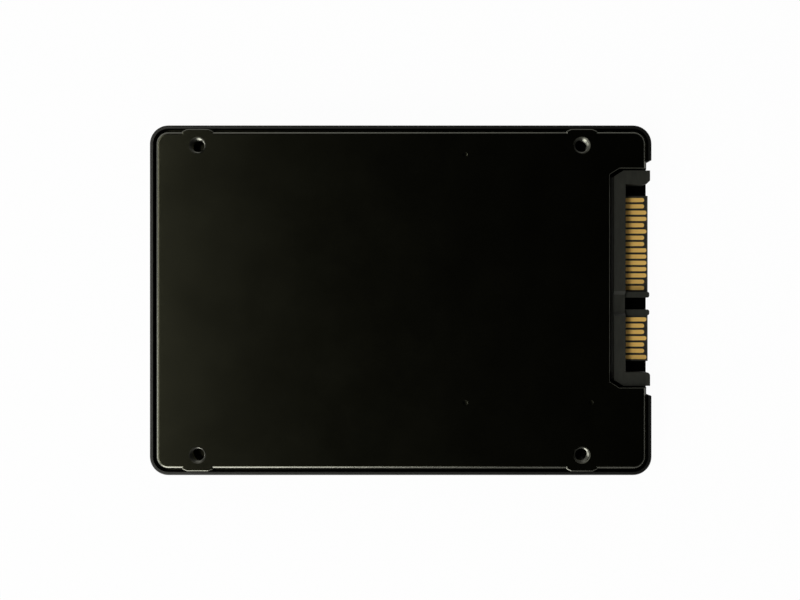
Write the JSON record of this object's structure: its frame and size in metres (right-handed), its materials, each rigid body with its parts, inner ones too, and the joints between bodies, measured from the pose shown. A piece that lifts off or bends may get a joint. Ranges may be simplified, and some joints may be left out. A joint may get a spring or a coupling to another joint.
{
  "type": "solid state drive",
  "caption": "Slim 2.5 inch solid state drive: flat two-shell case with threaded mounting holes and a recessed SATA data and power plug at one end.",
  "frame": {"origin": "centre of the label face, which lies on Z = 0 and is what the drive rests on", "axes": "+Z out of the mounting face, the one with four threaded holes; +X along the drive's length, out of the plug end; +Y across the drive towards the power half of the plug"},
  "size_m": [0.1002, 0.0698, 0.007],
  "materials": {
    "case": "satin black",
    "plug_plastic": "matte black",
    "contact_gold": "gold plated, polished",
    "tinned_metal": "tinned, satin",
    "circuit_board": "black solder mask",
    "screw_steel": "black zinc",
    "thermal_pad": "matte grey blue",
    "tantalum": "matte ochre",
    "ceramic": "matte tan",
    "inductor": "matte dark grey",
    "chip_mould": "matte black mould compound"
  },
  "bodies": {
    "root": {"base_plate": "case", "board_screws": "screw_steel", "chip_resistors": "chip_mould", "circuit_board": "circuit_board", "controller_chip": "chip_mould", "controller_thermal_pad": "thermal_pad", "coupling_capacitors": "ceramic", "crystal": "tinned_metal", "decoupling_capacitors": "ceramic", "dram_chip": "chip_mould", "firmware_flash": "chip_mould", "inductor_1": "inductor", "inductor_2": "inductor", "inductor_3": "inductor", "load_switch": "chip_mould", "nand_package_1": "chip_mould", "nand_package_2": "chip_mould", "nand_thermal_pad_1": "thermal_pad", "nand_thermal_pad_2": "thermal_pad", "plug_solder_tab_power_end": "tinned_metal", "plug_solder_tab_signal_end": "tinned_metal", "power_contact_01": "contact_gold", "power_contact_02": "contact_gold", "power_contact_03": "contact_gold", "power_contact_04": "contact_gold", "power_contact_05": "contact_gold", "power_contact_06": "contact_gold", "power_contact_07": "contact_gold", "power_contact_08": "contact_gold", "power_contact_09": "contact_gold", "power_contact_10": "contact_gold", "power_contact_11": "contact_gold", "power_contact_12": "contact_gold", "power_contact_13": "contact_gold", "power_contact_14": "contact_gold", "power_contact_15": "contact_gold", "power_regulator": "chip_mould", "sata_housing": "plug_plastic", "signal_contact_1": "contact_gold", "signal_contact_2": "contact_gold", "signal_contact_3": "contact_gold", "signal_contact_4": "contact_gold", "signal_contact_5": "contact_gold", "signal_contact_6": "contact_gold", "signal_contact_7": "contact_gold", "tantalum_capacitor_1": "tantalum", "tantalum_capacitor_2": "tantalum", "tantalum_capacitor_3": "tantalum", "top_cover": "case"}
  },
  "joints": []
}
